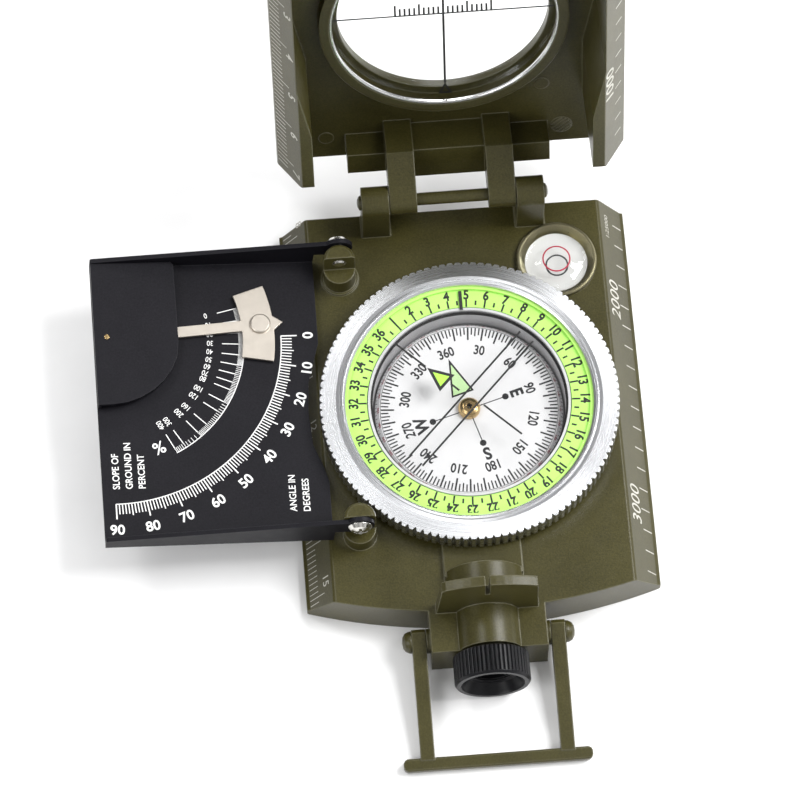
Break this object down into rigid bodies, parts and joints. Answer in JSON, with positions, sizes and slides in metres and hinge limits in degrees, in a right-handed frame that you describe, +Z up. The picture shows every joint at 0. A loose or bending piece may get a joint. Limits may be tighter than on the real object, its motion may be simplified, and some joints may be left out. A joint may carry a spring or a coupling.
{
  "type": "sighting compass",
  "caption": "Folding sighting compass with lid window, swing-out clinometer plate, bubble level, turning bezel, eyepiece and thumb loop",
  "frame": {"origin": "on the dial axis at the underside of the base", "axes": "+Z up, +Y towards the lid hinge, +X to the right when reading the dial from the eyepiece end"},
  "size_m": [0.0985, 0.1422, 0.0937],
  "materials": {
    "olive_paint": "satin olive paint over die-cast alloy",
    "black_paint": "satin black paint over sheet metal",
    "black_anodised": "black anodised, knurled",
    "nickel": "satin nickel plate",
    "silver_bezel": "machined, serrated edge",
    "steel": "turned steel",
    "brass": "turned brass",
    "clear_glass": "clear",
    "lume_dial": "luminous yellow-green dial",
    "white_card": "matt white card",
    "dark_plastic": "moulded black capsule",
    "rubber": "seal"
  },
  "bodies": {
    "base": {"base_casting": "olive_paint", "bottom_cover": "olive_paint", "bottom_screws": "steel", "tripod_bush": "brass", "level_cup": "nickel", "level_dial": "white_card", "level_glass": "clear_glass", "capsule_housing": "dark_plastic", "capsule_window": "clear_glass", "capsule_glass": "clear_glass", "capsule_seal": "rubber", "pivot_post": "brass", "pivot_pin": "steel", "index_pointer": "black_paint", "bezel_spring": "steel", "hinge_pin": "steel", "clino_screws": "nickel", "loop_rivets": "olive_paint"},
    "lid": {"lid_casting": "olive_paint", "lid_lens_ring": "silver_bezel", "lid_lens": "clear_glass"},
    "clinometer": {"clino_plate": "black_paint", "clino_cover": "black_paint", "clino_pivot": "brass"},
    "pendulum": {"clino_pendulum": "nickel", "clino_weight": "nickel"},
    "bezel": {"bezel_ring": "silver_bezel", "dial_ring": "lume_dial", "bezel_glass": "clear_glass"},
    "card": {"compass_card": "white_card", "card_magnet": "steel", "card_hub": "brass", "card_jewel": "clear_glass"},
    "loop": {"thumb_loop": "olive_paint"},
    "eye_barrel": {"eyepiece_barrel": "black_anodised", "eyepiece_lens": "clear_glass", "eyepiece_retainer": "black_anodised"},
    "eye_ring": {"eyepiece_ring": "black_anodised"}
  },
  "joints": [
    {"name": "lid_hinge", "type": "hinge", "parent": "base", "child": "lid", "pos_m": [0, 0.03835, 0.0181], "axis": [1, 0, 0], "range_deg": [-40, 108.2]},
    {"name": "clinometer_swing", "type": "hinge", "parent": "base", "child": "clinometer", "pos_m": [-0.0214, 0, 0.0159], "axis": [0, 1, 0], "range_deg": [-6, 174]},
    {"name": "pendulum_swing", "type": "hinge", "parent": "clinometer", "child": "pendulum", "pos_m": [-0.06377, 0.01615, 0.02035], "axis": [0.1045, 0, 0.9945], "range_deg": [-96, 9.5]},
    {"name": "bezel_turn", "type": "hinge", "parent": "base", "child": "bezel", "pos_m": [0, 0, 0.0125], "axis": [0, 0, 1], "continuous": true},
    {"name": "card_turn", "type": "hinge", "parent": "base", "child": "card", "pos_m": [0, 0, 0.0095], "axis": [0, 0, 1], "continuous": true},
    {"name": "loop_swing", "type": "hinge", "parent": "base", "child": "loop", "pos_m": [0, -0.042, 0.0048], "axis": [-1, 0, 0], "range_deg": [-75, 103]},
    {"name": "focus_travel", "type": "slide", "parent": "base", "child": "eye_barrel", "axis": [0, -1, 0], "range_m": [-0.00046, 0.001]},
    {"name": "focus_turn", "type": "hinge", "parent": "eye_barrel", "child": "eye_ring", "pos_m": [0, -0.049, 0.007], "axis": [0, -1, 0], "range_deg": [-330, 720]}
  ],
  "couplings": [
    {"joint": "focus_turn", "follows": "focus_travel", "rad_per_m": 12566}
  ]
}
